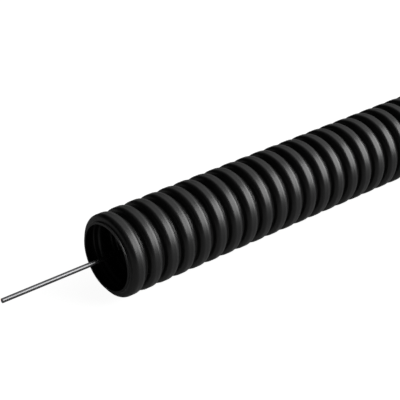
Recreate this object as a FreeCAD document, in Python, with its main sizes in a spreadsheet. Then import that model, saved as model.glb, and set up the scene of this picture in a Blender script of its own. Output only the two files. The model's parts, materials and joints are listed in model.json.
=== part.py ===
import FreeCAD, Part
import Sketcher
import math
import os

# A length of corrugated plastic conduit with the steel draw wire that lies in it.
# The conduit lies along +X. Its near cut end is in the plane x = 0 and its axis is on z = 0,
# so it touches the floor at z = minus half of its outside diameter.

# Driving dimensions, in millimetres and degrees
DIMENSIONS = {
    "outside_diameter": 20.0,
    "groove_diameter": 17.0,
    "wall_thickness": 0.5,
    "wave_pitch": 4.76,
    "crest_flat": 1.5,
    "shoulder_radius": 1.0,
    "groove_radius": 0.35,
    "flank_angle": 80.0,
    "stock_length": 1000.0,
    "wire_diameter": 1.1,
    "wire_tail": 27.5,
    "wire_level_run": 30.0,
    "wire_drop_run": 100.0,
    "wire_seat_gap": 0.05,
}

# What follows from them. The stock is cut in grooves, so it holds a whole number of waves.
WAVE_COUNT = "floor(Dimensions.stock_length / Dimensions.wave_pitch)"
CUT_LENGTH = WAVE_COUNT + " * Dimensions.wave_pitch"
CREST_LEVEL = "Dimensions.outside_diameter / 2"
GROOVE_LEVEL = "Dimensions.groove_diameter / 2"
WIRE_DROP = "{} - Dimensions.wall_thickness - Dimensions.wire_diameter / 2 - Dimensions.wire_seat_gap".format(
    GROOVE_LEVEL
)

# The share by which a solid's volume may differ from the volume worked out for it
VOLUME_TOLERANCE = 0.001


def make_sheet(document):
    """Puts the driving dimensions in a sheet, one to a row, and names each cell."""
    sheet = document.addObject("Spreadsheet::Sheet", "Dimensions")
    for row, (name, value) in enumerate(DIMENSIONS.items(), start=1):
        sheet.set("A{}".format(row), name)
        sheet.set("B{}".format(row), str(value))
        sheet.setAlias("B{}".format(row), name)
    document.recompute()
    return sheet


def new_body(document, name):
    """A body whose label names its file."""
    body = document.addObject("PartDesign::Body", name)
    body.Label = name
    body.Placement = FreeCAD.Placement()
    return body


def new_sketch(body, name, role):
    """A sketch on the body's own origin plane with this role."""
    sketch = body.newObject("Sketcher::SketchObject", name)
    plane = next(feature for feature in body.Origin.OriginFeatures if feature.Role == role)
    sketch.AttachmentSupport = [(plane, "")]
    sketch.MapMode = "FlatFace"
    return sketch


def value_of(item, expression):
    """The number that an expression gives."""
    result = item.evalExpression(expression)
    return getattr(result, "Value", result)


def bind(sketch, name, kind, place, expression):
    """Adds a named dimension and binds it to the sheet."""
    value = value_of(sketch, expression)
    if kind == "Angle":
        value = math.radians(value)
    index = sketch.addConstraint(Sketcher.Constraint(kind, *place, value))
    sketch.renameConstraint(index, name)
    sketch.setExpression("Constraints." + name, expression)


def add_line(sketch, start, end):
    """Adds a straight edge and returns its number and those of its first and last points."""
    return sketch.addGeometry(Part.LineSegment(start, end)), 1, 2


def add_arc(sketch, centre, radius, first_angle, last_angle):
    """Adds an arc. Where its angle falls it is travelled clockwise, from its second point to its first."""
    circle = Part.Circle(centre, FreeCAD.Vector(0, 0, 1), radius)
    low, high = sorted((first_angle, last_angle))
    index = sketch.addGeometry(Part.ArcOfCircle(circle, low, high))
    if first_angle < last_angle:
        return index, 1, 2
    return index, 2, 1


def join_tangent(sketch, edges):
    """Joins each edge to the next one, end to end and in line."""
    for before, after in zip(edges, edges[1:]):
        sketch.addConstraint(Sketcher.Constraint("Tangent", before[0], before[2], after[0], after[1]))


def draw_wave(sketch, side, crest_level, groove_level, crest_round, groove_round):
    """Draws one skin of a wave, from the middle of a groove over the crest to the middle of the next.

    The levels and radii are expressions. Returns the skin's first and last edges.
    """
    pitch = value_of(sketch, "Dimensions.wave_pitch")
    half_flat = value_of(sketch, "Dimensions.crest_flat / 2")
    lean = math.radians(value_of(sketch, "Dimensions.flank_angle"))
    crest, groove = value_of(sketch, crest_level), value_of(sketch, groove_level)
    crest_radius, groove_radius = value_of(sketch, crest_round), value_of(sketch, groove_round)

    # Distances from the wave's middle, and heights above the axis
    flank_top = half_flat + crest_radius * math.sin(lean)
    flank_top_level = crest - crest_radius * (1 - math.cos(lean))
    flank_foot_level = groove + groove_radius * (1 - math.cos(lean))
    flank_foot = flank_top + (flank_top_level - flank_foot_level) / math.tan(lean)
    groove_end = flank_foot + groove_radius * math.sin(lean)

    def at(offset, level):
        return FreeCAD.Vector(pitch / 2 + offset, level, 0)

    upright = math.pi / 2
    edges = [
        add_line(sketch, at(-pitch / 2, groove), at(-groove_end, groove)),
        add_arc(sketch, at(-groove_end, groove + groove_radius), groove_radius, -upright, lean - upright),
        add_line(sketch, at(-flank_foot, flank_foot_level), at(-flank_top, flank_top_level)),
        add_arc(sketch, at(-half_flat, crest - crest_radius), crest_radius, upright + lean, upright),
        add_line(sketch, at(-half_flat, crest), at(half_flat, crest)),
        add_arc(sketch, at(half_flat, crest - crest_radius), crest_radius, upright, upright - lean),
        add_line(sketch, at(flank_top, flank_top_level), at(flank_foot, flank_foot_level)),
        add_arc(sketch, at(groove_end, groove + groove_radius), groove_radius, -upright - lean, -upright),
        add_line(sketch, at(groove_end, groove), at(pitch / 2, groove)),
    ]
    join_tangent(sketch, edges)
    groove_in, foot_in, rise, shoulder_in, crest_edge, shoulder_out, fall, foot_out, groove_out = (
        edge[0] for edge in edges
    )
    for level_edge in (groove_in, crest_edge, groove_out):
        sketch.addConstraint(Sketcher.Constraint("Horizontal", level_edge))
    bind(sketch, side + "_start", "DistanceX", (groove_in, 1), "0 mm")
    bind(sketch, side + "_end", "DistanceX", (groove_out, 2), "Dimensions.wave_pitch")
    bind(sketch, side + "_groove_in", "DistanceY", (groove_in, 1), groove_level)
    bind(sketch, side + "_groove_out", "DistanceY", (groove_out, 2), groove_level)
    bind(sketch, side + "_crest", "DistanceY", (crest_edge, 1), crest_level)
    bind(
        sketch,
        side + "_crest_start",
        "DistanceX",
        (crest_edge, 1),
        "(Dimensions.wave_pitch - Dimensions.crest_flat) / 2",
    )
    bind(sketch, side + "_crest_flat", "DistanceX", (crest_edge, 1, crest_edge, 2), "Dimensions.crest_flat")
    bind(sketch, side + "_shoulder_in", "Radius", (shoulder_in,), crest_round)
    bind(sketch, side + "_shoulder_out", "Radius", (shoulder_out,), crest_round)
    bind(sketch, side + "_foot_in", "Radius", (foot_in,), groove_round)
    bind(sketch, side + "_foot_out", "Radius", (foot_out,), groove_round)
    bind(sketch, side + "_rise", "Angle", (rise,), "Dimensions.flank_angle * 1 deg")
    bind(sketch, side + "_fall", "Angle", (fall,), "-Dimensions.flank_angle * 1 deg")
    return edges[0], edges[-1]


def make_conduit(document):
    """One wave is revolved about the axis and repeated along it."""
    body = new_body(document, "conduit")
    section = new_sketch(body, "wave_section", "XZ_Plane")
    outer_first, outer_last = draw_wave(
        section,
        "outer",
        CREST_LEVEL,
        GROOVE_LEVEL,
        "Dimensions.shoulder_radius",
        "Dimensions.groove_radius",
    )
    # The inner skin is the outer one moved in by the wall
    inner_first, inner_last = draw_wave(
        section,
        "inner",
        CREST_LEVEL + " - Dimensions.wall_thickness",
        GROOVE_LEVEL + " - Dimensions.wall_thickness",
        "Dimensions.shoulder_radius - Dimensions.wall_thickness",
        "Dimensions.groove_radius + Dimensions.wall_thickness",
    )
    level = {
        "outer": value_of(section, GROOVE_LEVEL),
        "inner": value_of(section, GROOVE_LEVEL + " - Dimensions.wall_thickness"),
    }
    pitch = value_of(section, "Dimensions.wave_pitch")
    ends = ((0, outer_first, inner_first, 1), (pitch, outer_last, inner_last, 2))
    for station, outer_edge, inner_edge, point in ends:
        cut = add_line(
            section,
            FreeCAD.Vector(station, level["outer"], 0),
            FreeCAD.Vector(station, level["inner"], 0),
        )
        section.addConstraint(Sketcher.Constraint("Coincident", cut[0], 1, outer_edge[0], point))
        section.addConstraint(Sketcher.Constraint("Coincident", cut[0], 2, inner_edge[0], point))
    document.recompute()

    wave = body.newObject("PartDesign::Revolution", "wave")
    wave.Profile = section
    wave.ReferenceAxis = (section, ["H_Axis"])
    wave.Angle = 360
    document.recompute()

    waves = body.newObject("PartDesign::LinearPattern", "waves")
    waves.Originals = [wave]
    waves.Direction = (section, ["H_Axis"])
    waves.Mode = "Spacing"
    waves.setExpression("Offset", "Dimensions.wave_pitch")
    waves.setExpression("Occurrences", WAVE_COUNT)
    body.Tip = waves
    document.recompute()
    return body, wave.Shape.Volume * value_of(waves, WAVE_COUNT)


def make_draw_wire(document):
    """A round wire that leaves the near mouth on the axis, sinks to the bottom and lies there."""
    body = new_body(document, "draw_wire")
    route = new_sketch(body, "wire_route", "XZ_Plane")
    tail = value_of(route, "Dimensions.wire_tail")
    level_end = value_of(route, "Dimensions.wire_level_run")
    half_run = value_of(route, "Dimensions.wire_drop_run / 2")
    drop = value_of(route, WIRE_DROP)
    far_end = value_of(route, CUT_LENGTH) + tail
    turn = 2 * math.atan2(drop / 2, half_run)
    radius = half_run / math.sin(turn)
    upright = math.pi / 2

    def at(station, height):
        return FreeCAD.Vector(station, height, 0)

    sunk = level_end + 2 * half_run
    edges = [
        add_line(route, at(-tail, 0), at(level_end, 0)),
        add_arc(route, at(level_end, -radius), radius, upright, upright - turn),
        add_arc(route, at(sunk, radius - drop), radius, -upright - turn, -upright),
        add_line(route, at(sunk, -drop), at(far_end, -drop)),
    ]
    join_tangent(route, edges)
    near_run, sink, rise, floor_run = (edge[0] for edge in edges)
    for level_edge in (near_run, floor_run):
        route.addConstraint(Sketcher.Constraint("Horizontal", level_edge))
    route.addConstraint(Sketcher.Constraint("Equal", sink, rise))
    route.addConstraint(Sketcher.Constraint("PointOnObject", near_run, 1, -1))
    bind(route, "tail", "DistanceX", (near_run, 1, -1, 1), "Dimensions.wire_tail")
    bind(route, "level_run", "DistanceX", (near_run, 2), "Dimensions.wire_level_run")
    bind(route, "drop_run", "DistanceX", (near_run, 2, floor_run, 1), "Dimensions.wire_drop_run")
    bind(route, "drop", "DistanceY", (floor_run, 1, -1, 1), WIRE_DROP)
    bind(route, "far_end", "DistanceX", (floor_run, 2), CUT_LENGTH + " + Dimensions.wire_tail")

    section = new_sketch(body, "wire_section", "YZ_Plane")
    section.setExpression("AttachmentOffset.Base.z", "-Dimensions.wire_tail")
    centre = FreeCAD.Vector(0, 0, 0)
    wire_radius = value_of(section, "Dimensions.wire_diameter / 2")
    ring = section.addGeometry(Part.Circle(centre, FreeCAD.Vector(0, 0, 1), wire_radius))
    section.addConstraint(Sketcher.Constraint("Coincident", ring, 3, -1, 1))
    bind(section, "wire_diameter", "Diameter", (ring,), "Dimensions.wire_diameter")
    document.recompute()

    sweep = body.newObject("PartDesign::AdditivePipe", "wire")
    sweep.Profile = section
    sweep.Spine = (route, [])
    body.Tip = sweep
    document.recompute()
    section_area = math.pi * wire_radius**2
    print("wire bend radius", round(radius, 1), "mm, route", round(route.Shape.Length, 2), "mm")
    return body, route.Shape.Length * section_area


def check(document, pieces):
    """Stops with a message unless every object is sound and every solid has its worked-out volume."""
    for item in document.Objects:
        if "Invalid" in item.State or "Error" in item.State:
            raise RuntimeError(item.Name + " did not build")
        if item.TypeId == "Sketcher::SketchObject":
            if item.solve() != 0:
                raise RuntimeError(item.Name + " is not solved")
            print(item.Name, "free dimensions:", item.DoF)
    for body, volume in pieces:
        shape = body.Shape
        if shape.isNull() or not shape.isValid():
            raise RuntimeError(body.Label + " has no valid shape")
        if len(shape.Solids) != 1:
            raise RuntimeError(body.Label + " is not one solid")
        if abs(shape.Volume - volume) > VOLUME_TOLERANCE * volume:
            raise RuntimeError(body.Label + " differs from its worked-out volume")
        print(body.Label, "volume", round(shape.Volume, 2), "mm3, faces", len(shape.Faces))


def write_parts(pieces):
    """Writes each piece to a file named after it."""
    os.makedirs("parts", exist_ok=True)
    for body, _ in pieces:
        body.Shape.exportStep("parts/{}.step".format(body.Label))


document = FreeCAD.newDocument("corrugated_conduit")
make_sheet(document)
pieces = [make_conduit(document), make_draw_wire(document)]
check(document, pieces)
write_parts(pieces)
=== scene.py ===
import json
import math

import bpy
import numpy as np
from mathutils import Matrix, Vector

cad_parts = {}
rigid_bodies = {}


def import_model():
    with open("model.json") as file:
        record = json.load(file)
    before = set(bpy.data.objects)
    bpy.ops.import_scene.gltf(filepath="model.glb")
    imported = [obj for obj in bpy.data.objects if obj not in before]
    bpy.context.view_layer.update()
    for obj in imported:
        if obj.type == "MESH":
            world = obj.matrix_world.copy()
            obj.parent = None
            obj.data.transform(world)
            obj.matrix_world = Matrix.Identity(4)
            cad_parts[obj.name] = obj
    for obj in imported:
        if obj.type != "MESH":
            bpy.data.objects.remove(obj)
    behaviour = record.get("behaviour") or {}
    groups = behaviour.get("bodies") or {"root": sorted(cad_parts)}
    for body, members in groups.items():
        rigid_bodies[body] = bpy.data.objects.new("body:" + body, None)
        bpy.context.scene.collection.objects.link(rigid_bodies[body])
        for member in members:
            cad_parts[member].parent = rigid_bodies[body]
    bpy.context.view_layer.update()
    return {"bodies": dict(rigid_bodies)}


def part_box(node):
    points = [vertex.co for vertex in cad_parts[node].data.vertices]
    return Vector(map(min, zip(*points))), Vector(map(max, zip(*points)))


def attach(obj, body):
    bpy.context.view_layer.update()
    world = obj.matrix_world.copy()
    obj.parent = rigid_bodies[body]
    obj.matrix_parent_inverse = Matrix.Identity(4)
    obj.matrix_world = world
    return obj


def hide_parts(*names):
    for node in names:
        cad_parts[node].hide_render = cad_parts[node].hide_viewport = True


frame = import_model()
body = next(iter(frame["bodies"]))

# Sizes of the conduit's waves, in metres and degrees
OUTSIDE_RADIUS = 0.010
GROOVE_RADIUS = 0.0085
WALL = 0.0005
PITCH = 0.00476
CREST_FLAT = 0.0015
SHOULDER_ROUND = 0.001
GROOVE_ROUND = 0.00035
FLANK_ANGLE = 80.0

# The crest is shaded as if very slightly domed: its edges face this many degrees outward, and its
# middle, on the outer skin, faces straight out over this width
CREST_DOME_ANGLE = 16.6
CREST_PLAIN_WIDTH = 0.00088

# The draw wire and its route
WIRE_RADIUS = 0.00055
WIRE_TAIL = 0.0275
WIRE_LEVEL_RUN = 0.030
WIRE_DROP_RUN = 0.100
WIRE_SEAT_GAP = 0.00005

# How finely the meshes are made. Steps are those of each shoulder and of each groove's rounding.
SEGMENTS = 72
NEAR_WAVES = 24
NEAR_OUTER_STEPS = (4, 3)
NEAR_INNER_STEPS = (3, 3)
FAR_PIECES = 3
FAR_OUTER_STEPS = (2, 1)
FAR_INNER_STEPS = (1, 1)
WIRE_SEGMENTS = 32
WIRE_BEND_STEPS = 24

# The camera stands where the photograph was taken from, measured from the near mouth's centre.
# The focal length is in picture widths, and the picture's middle is half a pixel off the lens's.
CAMERA_PLACE = Vector((-0.14958, -0.21370, 0.15894))
CAMERA_LOOK = Vector((0.55825, 0.67323, -0.48489))
FOCAL_WIDTHS = 3.3816
SENSOR_WIDTH = 36.0
HALF_PIXEL = 0.5 / 400
CLIP_RANGE = (0.01, 100.0)

# The lamp, an ellipse whose long side is in line with the conduit
LAMP_TARGET = Vector((0.05, 0.0, 0.0))
LAMP_DIRECTION = Vector((0.767, -0.447, 0.417))
LAMP_DISTANCE = 2.5
LAMP_LENGTH = 3.49
LAMP_WIDTH = 2.22
LAMP_RADIANCE = 4.82

# The screen on the right, and the share of its light that is left overhead and on the left. The
# light rises toward the front, along a direction that also leans up. The rise and the edge are how
# far a direction points to the front and to the right.
FRONT = (0.0, -0.8, 0.6)
SCREEN_RISE = (-0.8, 0.45)
SCREEN_LIGHT = (0.046, 0.70)
SCREEN_EDGE = (0.0, 0.45)
CEILING_SHARE = 0.025

# The floor's colour, and its own white beside the object, which rises to full white between these
# distances from the object. Mirrors show this share of the white background, and of the walls only
# the foot, up to where a direction rises by this much.
FLOOR_SIZE = 60.0
FLOOR_COLOUR = 0.23
FLOOR_GLOW = 0.95
FLOOR_GLOW_RISE = (0.05, 0.40)
MIRRORED_WHITE = 0.08
WALL_TOP = 0.08


# Meshes


def arc(centre, radius, first, last, steps, outward, facing_first=None, facing_last=None):
    """Profile points on an arc, each with the direction that the surface faces, in degrees.

    The surface faces straight out of the arc, or into it where outward is -1, unless other end
    directions are given.
    """
    facing_first = first if facing_first is None else facing_first
    facing_last = last if facing_last is None else facing_last
    points = []
    for step in range(steps + 1):
        share = step / steps
        angle = math.radians(first + (last - first) * share)
        facing = math.radians(facing_first + (facing_last - facing_first) * share)
        points.append(
            (
                centre[0] + radius * math.cos(angle),
                centre[1] + radius * math.sin(angle),
                outward * math.cos(facing),
                outward * math.sin(facing),
            )
        )
    return points


def wave_profile(inset, shoulder_steps, groove_steps):
    """One wave of a skin, from groove to groove, inset from the outer skin by this much."""
    lean = math.radians(FLANK_ANGLE)
    crest, groove = OUTSIDE_RADIUS - inset, GROOVE_RADIUS - inset
    shoulder, foot = SHOULDER_ROUND - inset, GROOVE_ROUND + inset
    half_flat = CREST_FLAT / 2
    flank_top = half_flat + shoulder * math.sin(lean)
    flank_fall = (crest - groove) - (shoulder + foot) * (1 - math.cos(lean))
    groove_end = flank_top + flank_fall / math.tan(lean) + foot * math.sin(lean)
    middle = PITCH / 2
    rise, fall = 90 + FLANK_ANGLE, 90 - FLANK_ANGLE
    crest_in, crest_out = 90 + CREST_DOME_ANGLE, 90 - CREST_DOME_ANGLE
    plain = CREST_PLAIN_WIDTH / 2
    strip = [] if inset else [(middle - plain, crest, 0.0, 1.0), (middle + plain, crest, 0.0, 1.0)]
    up = (middle - half_flat, crest - shoulder)
    down = (middle + half_flat, crest - shoulder)
    return (
        arc((middle - groove_end, groove + foot), foot, -90, FLANK_ANGLE - 90, groove_steps, -1)
        + arc(up, shoulder, rise, 90, shoulder_steps, 1, rise, crest_in)
        + strip
        + arc(down, shoulder, 90, fall, shoulder_steps, 1, crest_out, fall)
        + arc((middle + groove_end, groove + foot), foot, -90 - FLANK_ANGLE, -90, groove_steps, -1)
    )


def skin(first_wave, waves, inset, shoulder_steps, groove_steps):
    """The profile of a stretch of waves, with its ends in the middles of grooves."""
    start, end = first_wave * PITCH, (first_wave + waves) * PITCH
    groove = GROOVE_RADIUS - inset
    one = wave_profile(inset, shoulder_steps, groove_steps)
    points = [(start, groove, 0.0, 1.0)]
    for wave in range(waves):
        points += [(start + wave * PITCH + x, r, nx, nr) for x, r, nx, nr in one]
    points.append((end, groove, 0.0, 1.0))
    return points


def mesh_piece(name, vertices, faces, corner_normals, material):
    """A smooth mesh on the part's body, the corners of its faces facing as these normals do."""
    mesh = bpy.data.meshes.new(name)
    mesh.from_pydata(vertices.tolist(), [], faces)
    mesh.polygons.foreach_set("use_smooth", [True] * len(faces))
    mesh.normals_split_custom_set(corner_normals.reshape(-1, 3).tolist())
    mesh.materials.append(material)
    piece = bpy.data.objects.new(name, mesh)
    bpy.context.scene.collection.objects.link(piece)
    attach(piece, body)
    return piece


def bands(rings, segments, closed):
    """Faces between each ring of vertices and the next, and from last to first if closed."""
    here = np.arange(rings if closed else rings - 1)[:, None] * segments
    there = (here + segments) % (rings * segments)
    left = np.arange(segments)[None]
    right = (left + 1) % segments
    return np.stack([here + left, here + right, there + right, there + left], 2).reshape(-1, 4)


def conduit_piece(name, first_wave, waves, outer_steps, inner_steps, material):
    """A closed stretch of conduit: the outer skin out and the inner skin back, turned about X."""
    outer = skin(first_wave, waves, 0.0, *outer_steps)
    inner = skin(first_wave, waves, WALL, *inner_steps)
    inner = [(x, r, -nx, -nr) for x, r, nx, nr in reversed(inner)]
    profile = np.array(outer + inner)
    turn = np.linspace(0, 2 * math.pi, SEGMENTS, endpoint=False)
    around = np.stack([np.ones(SEGMENTS), np.cos(turn), np.sin(turn)], 1)
    vertices = (profile[:, None, [0, 1, 1]] * around).reshape(-1, 3)
    normals = (profile[:, None, [2, 3, 3]] * around).reshape(-1, 3)
    faces = bands(len(profile), SEGMENTS, True)
    corners = normals[faces].reshape(len(profile), SEGMENTS, 4, 3)
    # The two bands that join the skins are the cut ends
    corners[len(outer) - 1] = (1, 0, 0)
    corners[-1] = (-1, 0, 0)
    return mesh_piece(name, vertices, faces.tolist(), corners, material)


def wire_route(far_end):
    """Centre points of the wire, and the angle by which it dips below the level at each."""
    drop = GROOVE_RADIUS - WALL - WIRE_RADIUS - WIRE_SEAT_GAP
    half_run = WIRE_DROP_RUN / 2
    turn = 2 * math.atan2(drop / 2, half_run)
    bend = half_run / math.sin(turn)
    route = [(-WIRE_TAIL, 0.0, 0.0)]
    for step in range(WIRE_BEND_STEPS + 1):
        angle = turn * step / WIRE_BEND_STEPS
        route.append((WIRE_LEVEL_RUN + bend * math.sin(angle), -bend * (1 - math.cos(angle)), angle))
    for step in range(1, WIRE_BEND_STEPS + 1):
        angle = turn * (1 - step / WIRE_BEND_STEPS)
        x = WIRE_LEVEL_RUN + WIRE_DROP_RUN - bend * math.sin(angle)
        route.append((x, -drop + bend * (1 - math.cos(angle)), angle))
    route.append((far_end + WIRE_TAIL, -drop, 0.0))
    return np.array(route)


def wire_piece(name, far_end, material):
    """The round wire, swept along its route, with flat cut ends."""
    x, z, dip = wire_route(far_end).T[:, :, None]
    turn = np.linspace(0, 2 * math.pi, WIRE_SEGMENTS, endpoint=False)
    across, above = np.cos(turn), np.sin(turn)
    normals = np.stack([np.sin(dip) * above, np.ones_like(dip) * across, np.cos(dip) * above], 2)
    centres = np.stack([x, np.zeros_like(x), z], 2)
    vertices = (centres + WIRE_RADIUS * normals).reshape(-1, 3)
    faces = bands(len(x), WIRE_SEGMENTS, False)
    first = list(reversed(range(WIRE_SEGMENTS)))
    last = [len(vertices) - WIRE_SEGMENTS + index for index in range(WIRE_SEGMENTS)]
    corners = np.concatenate(
        [
            normals.reshape(-1, 3)[faces].reshape(-1, 3),
            np.tile((-1.0, 0.0, 0.0), (WIRE_SEGMENTS, 1)),
            np.tile((1.0, 0.0, 0.0), (WIRE_SEGMENTS, 1)),
        ]
    )
    return mesh_piece(name, vertices, faces.tolist() + [first, last], corners, material)


# Nodes


def add(tree, kind, inputs, **settings):
    """A new shader node. Its inputs are given as numbers or as other nodes' outputs."""
    node = tree.nodes.new("ShaderNode" + kind)
    for name, value in settings.items():
        setattr(node, name, value)
    for name, value in inputs.items():
        if isinstance(value, bpy.types.NodeSocket):
            tree.links.new(value, node.inputs[name])
        else:
            node.inputs[name].default_value = value
    return node


def combine(tree, operation, first, second):
    """Two values joined by a plain operation."""
    return add(tree, "Math", {0: first, 1: second}, operation=operation).outputs["Value"]


def ramp(tree, source, start, end, low, high, shape="LINEAR"):
    """A value that goes from low to high while the source goes from start to end."""
    limits = {"From Min": start, "From Max": end, "To Min": low, "To Max": high}
    return add(tree, "MapRange", {"Value": source, **limits}, interpolation_type=shape).outputs["Result"]


def noise(tree, scale, detail, stretch=(1, 1, 1)):
    """Noise in the object's own coordinates, stretched along the axes."""
    place = add(tree, "TexCoord", {})
    mapping = add(tree, "Mapping", {"Vector": place.outputs["Object"], "Scale": stretch})
    inputs = {"Vector": mapping.outputs["Vector"], "Scale": scale, "Detail": detail}
    return add(tree, "TexNoise", inputs).outputs["Fac"]


def seen(tree, share):
    """1 for what the camera sees, and this share for what mirrors show."""
    path = add(tree, "LightPath", {})
    mirrored = combine(tree, "ADD", path.outputs["Is Glossy Ray"], path.outputs["Is Transmission Ray"])
    shown = combine(tree, "MULTIPLY", mirrored, share)
    return combine(tree, "ADD", path.outputs["Is Camera Ray"], shown)


# Materials

# The noise values between which a material goes from its dark patches to its light ones
NOISE_LOW, NOISE_HIGH = 0.3, 0.7


def uneven_material(name, patches, dark, light, roughness, grain, strength, depth, metallic=0.0):
    """A material that varies between two colours and two roughnesses and has a fine relief.

    Patches and grain are the scale, detail and stretch of their noise. Strength and depth are the
    relief's.
    """
    material = bpy.data.materials.new(name)
    material.use_nodes = True
    tree = material.node_tree
    shader = tree.nodes["Principled BSDF"]
    patch = noise(tree, *patches)
    colours = add(tree, "ValToRGB", {"Fac": patch})
    stops = zip(colours.color_ramp.elements, (NOISE_LOW, NOISE_HIGH), (dark, light))
    for element, place, colour in stops:
        element.position = place
        element.color = (*colour, 1)
    tree.links.new(colours.outputs["Color"], shader.inputs["Base Color"])
    tree.links.new(ramp(tree, patch, NOISE_LOW, NOISE_HIGH, *roughness), shader.inputs["Roughness"])
    height = noise(tree, *grain)
    bump = add(tree, "Bump", {"Height": height, "Strength": strength, "Distance": depth})
    tree.links.new(bump.outputs["Normal"], shader.inputs["Normal"])
    shader.inputs["Metallic"].default_value = metallic
    return material


def black_plastic():
    """Satin black plastic with a faint moulded grain and slightly uneven gloss."""
    return uneven_material(
        "black_plastic",
        patches=(220, 3, (1, 1, 1)),
        dark=(0.0096, 0.0096, 0.0097),
        light=(0.0147, 0.0147, 0.0149),
        roughness=(0.35, 0.40),
        grain=(5200, 4, (1, 1, 1)),
        strength=0.25,
        depth=0.00001,
    )


def drawn_steel():
    """Dull steel wire with fine lines along its length."""
    return uneven_material(
        "drawn_steel",
        patches=(300, 3, (0.1, 1, 1)),
        dark=(0.155, 0.155, 0.159),
        light=(0.21, 0.21, 0.215),
        roughness=(0.22, 0.30),
        grain=(7000, 2, (0.003, 1, 1)),
        strength=0.2,
        depth=0.000003,
        metallic=1.0,
    )


# Stage


def studio_world():
    """A studio with a dim ceiling, a lighter screen on its right and walls that are seen white."""
    world = bpy.data.worlds.new("studio")
    world.use_nodes = True
    tree = world.node_tree
    direction = add(tree, "TexCoord", {}).outputs["Generated"]
    part = add(tree, "SeparateXYZ", {"Vector": direction})
    forward = add(tree, "VectorMath", {0: direction, 1: FRONT}, operation="DOT_PRODUCT")
    screen = combine(
        tree,
        "MULTIPLY",
        ramp(tree, forward.outputs["Value"], *SCREEN_RISE, *SCREEN_LIGHT, "SMOOTHSTEP"),
        ramp(tree, part.outputs["X"], *SCREEN_EDGE, CEILING_SHARE, 1.0, "SMOOTHSTEP"),
    )
    wall = ramp(tree, part.outputs["Z"], 0.0, WALL_TOP, MIRRORED_WHITE, 0.0, "SMOOTHSTEP")
    background = tree.nodes["Background"]
    background.inputs["Color"].default_value = (1, 1, 1, 1)
    tree.links.new(combine(tree, "MAXIMUM", screen, seen(tree, wall)), background.inputs["Strength"])
    bpy.context.scene.world = world


def pale_floor(low, high):
    """A wide white floor under the box from low to high.

    Its own white makes up for the dim studio, and is a little less beside the object, so that the
    object's shadow shows there.
    """
    bpy.ops.mesh.primitive_plane_add(size=FLOOR_SIZE, location=(0, 0, low[2]))
    floor = bpy.context.active_object
    floor.name = "floor"
    material = bpy.data.materials.new("pale_floor")
    material.use_nodes = True
    tree = material.node_tree
    tree.nodes.remove(tree.nodes["Principled BSDF"])
    place = add(tree, "NewGeometry", {}).outputs["Position"]
    along = add(tree, "SeparateXYZ", {"Vector": place}).outputs["X"]
    beside = add(tree, "Clamp", {"Value": along, "Min": low[0], "Max": high[0]}).outputs["Result"]
    nearest = add(tree, "CombineXYZ", {"X": beside, "Z": low[2]}).outputs["Vector"]
    away = add(tree, "VectorMath", {0: place, 1: nearest}, operation="DISTANCE").outputs["Value"]
    white = ramp(tree, away, *FLOOR_GLOW_RISE, FLOOR_GLOW, 1.0, "SMOOTHSTEP")
    shown = combine(tree, "MULTIPLY", white, seen(tree, MIRRORED_WHITE))
    matt = add(tree, "BsdfDiffuse", {"Color": (FLOOR_COLOUR, FLOOR_COLOUR, FLOOR_COLOUR, 1)})
    glow = add(tree, "Emission", {"Color": (1, 1, 1, 1), "Strength": shown})
    both = add(tree, "AddShader", {0: matt.outputs[0], 1: glow.outputs[0]})
    tree.links.new(both.outputs[0], tree.nodes["Material Output"].inputs["Surface"])
    floor.data.materials.append(material)


def soft_lamp():
    """A soft elliptical lamp on the right of the camera."""
    away = LAMP_DIRECTION.normalized()
    along = (Vector((1, 0, 0)) - away * away.x).normalized()
    data = bpy.data.lights.new("key", "AREA")
    data.shape = "ELLIPSE"
    data.size = LAMP_LENGTH
    data.size_y = LAMP_WIDTH
    area = math.pi / 4 * LAMP_LENGTH * LAMP_WIDTH
    data.energy = LAMP_RADIANCE * math.pi * area
    lamp = bpy.data.objects.new("key", data)
    lamp.rotation_mode = "QUATERNION"
    lamp.rotation_quaternion = Matrix((along, away.cross(along), away)).transposed().to_quaternion()
    lamp.location = LAMP_TARGET + away * LAMP_DISTANCE
    lamp.visible_camera = False
    bpy.context.scene.collection.objects.link(lamp)


def photograph_camera():
    """The camera at the photograph's viewing angle."""
    data = bpy.data.cameras.new("camera")
    data.sensor_width = SENSOR_WIDTH
    data.lens = FOCAL_WIDTHS * SENSOR_WIDTH
    data.shift_x, data.shift_y = -HALF_PIXEL, HALF_PIXEL
    data.clip_start, data.clip_end = CLIP_RANGE
    camera = bpy.data.objects.new("camera", data)
    camera.location = CAMERA_PLACE
    camera.rotation_mode = "QUATERNION"
    camera.rotation_quaternion = CAMERA_LOOK.to_track_quat("-Z", "Y")
    bpy.context.scene.collection.objects.link(camera)
    bpy.context.scene.camera = camera


plastic = black_plastic()
steel = drawn_steel()
low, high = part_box("conduit")
wave_count = round((high[0] - low[0]) / PITCH)
near = conduit_piece("conduit_near", 0, NEAR_WAVES, NEAR_OUTER_STEPS, NEAR_INNER_STEPS, plastic)
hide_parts("conduit")
far_waves = (wave_count - NEAR_WAVES) // FAR_PIECES
for index in range(FAR_PIECES):
    first = NEAR_WAVES + index * far_waves
    count = far_waves if index < FAR_PIECES - 1 else wave_count - first
    name = "conduit_far_{}".format(index + 1)
    conduit_piece(name, first, count, FAR_OUTER_STEPS, FAR_INNER_STEPS, plastic)
wire = wire_piece("draw_wire_fine", wave_count * PITCH, steel)
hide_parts("draw_wire")

pale_floor(low, high)
studio_world()
soft_lamp()
photograph_camera()
bpy.context.scene.view_settings.view_transform = "Standard"
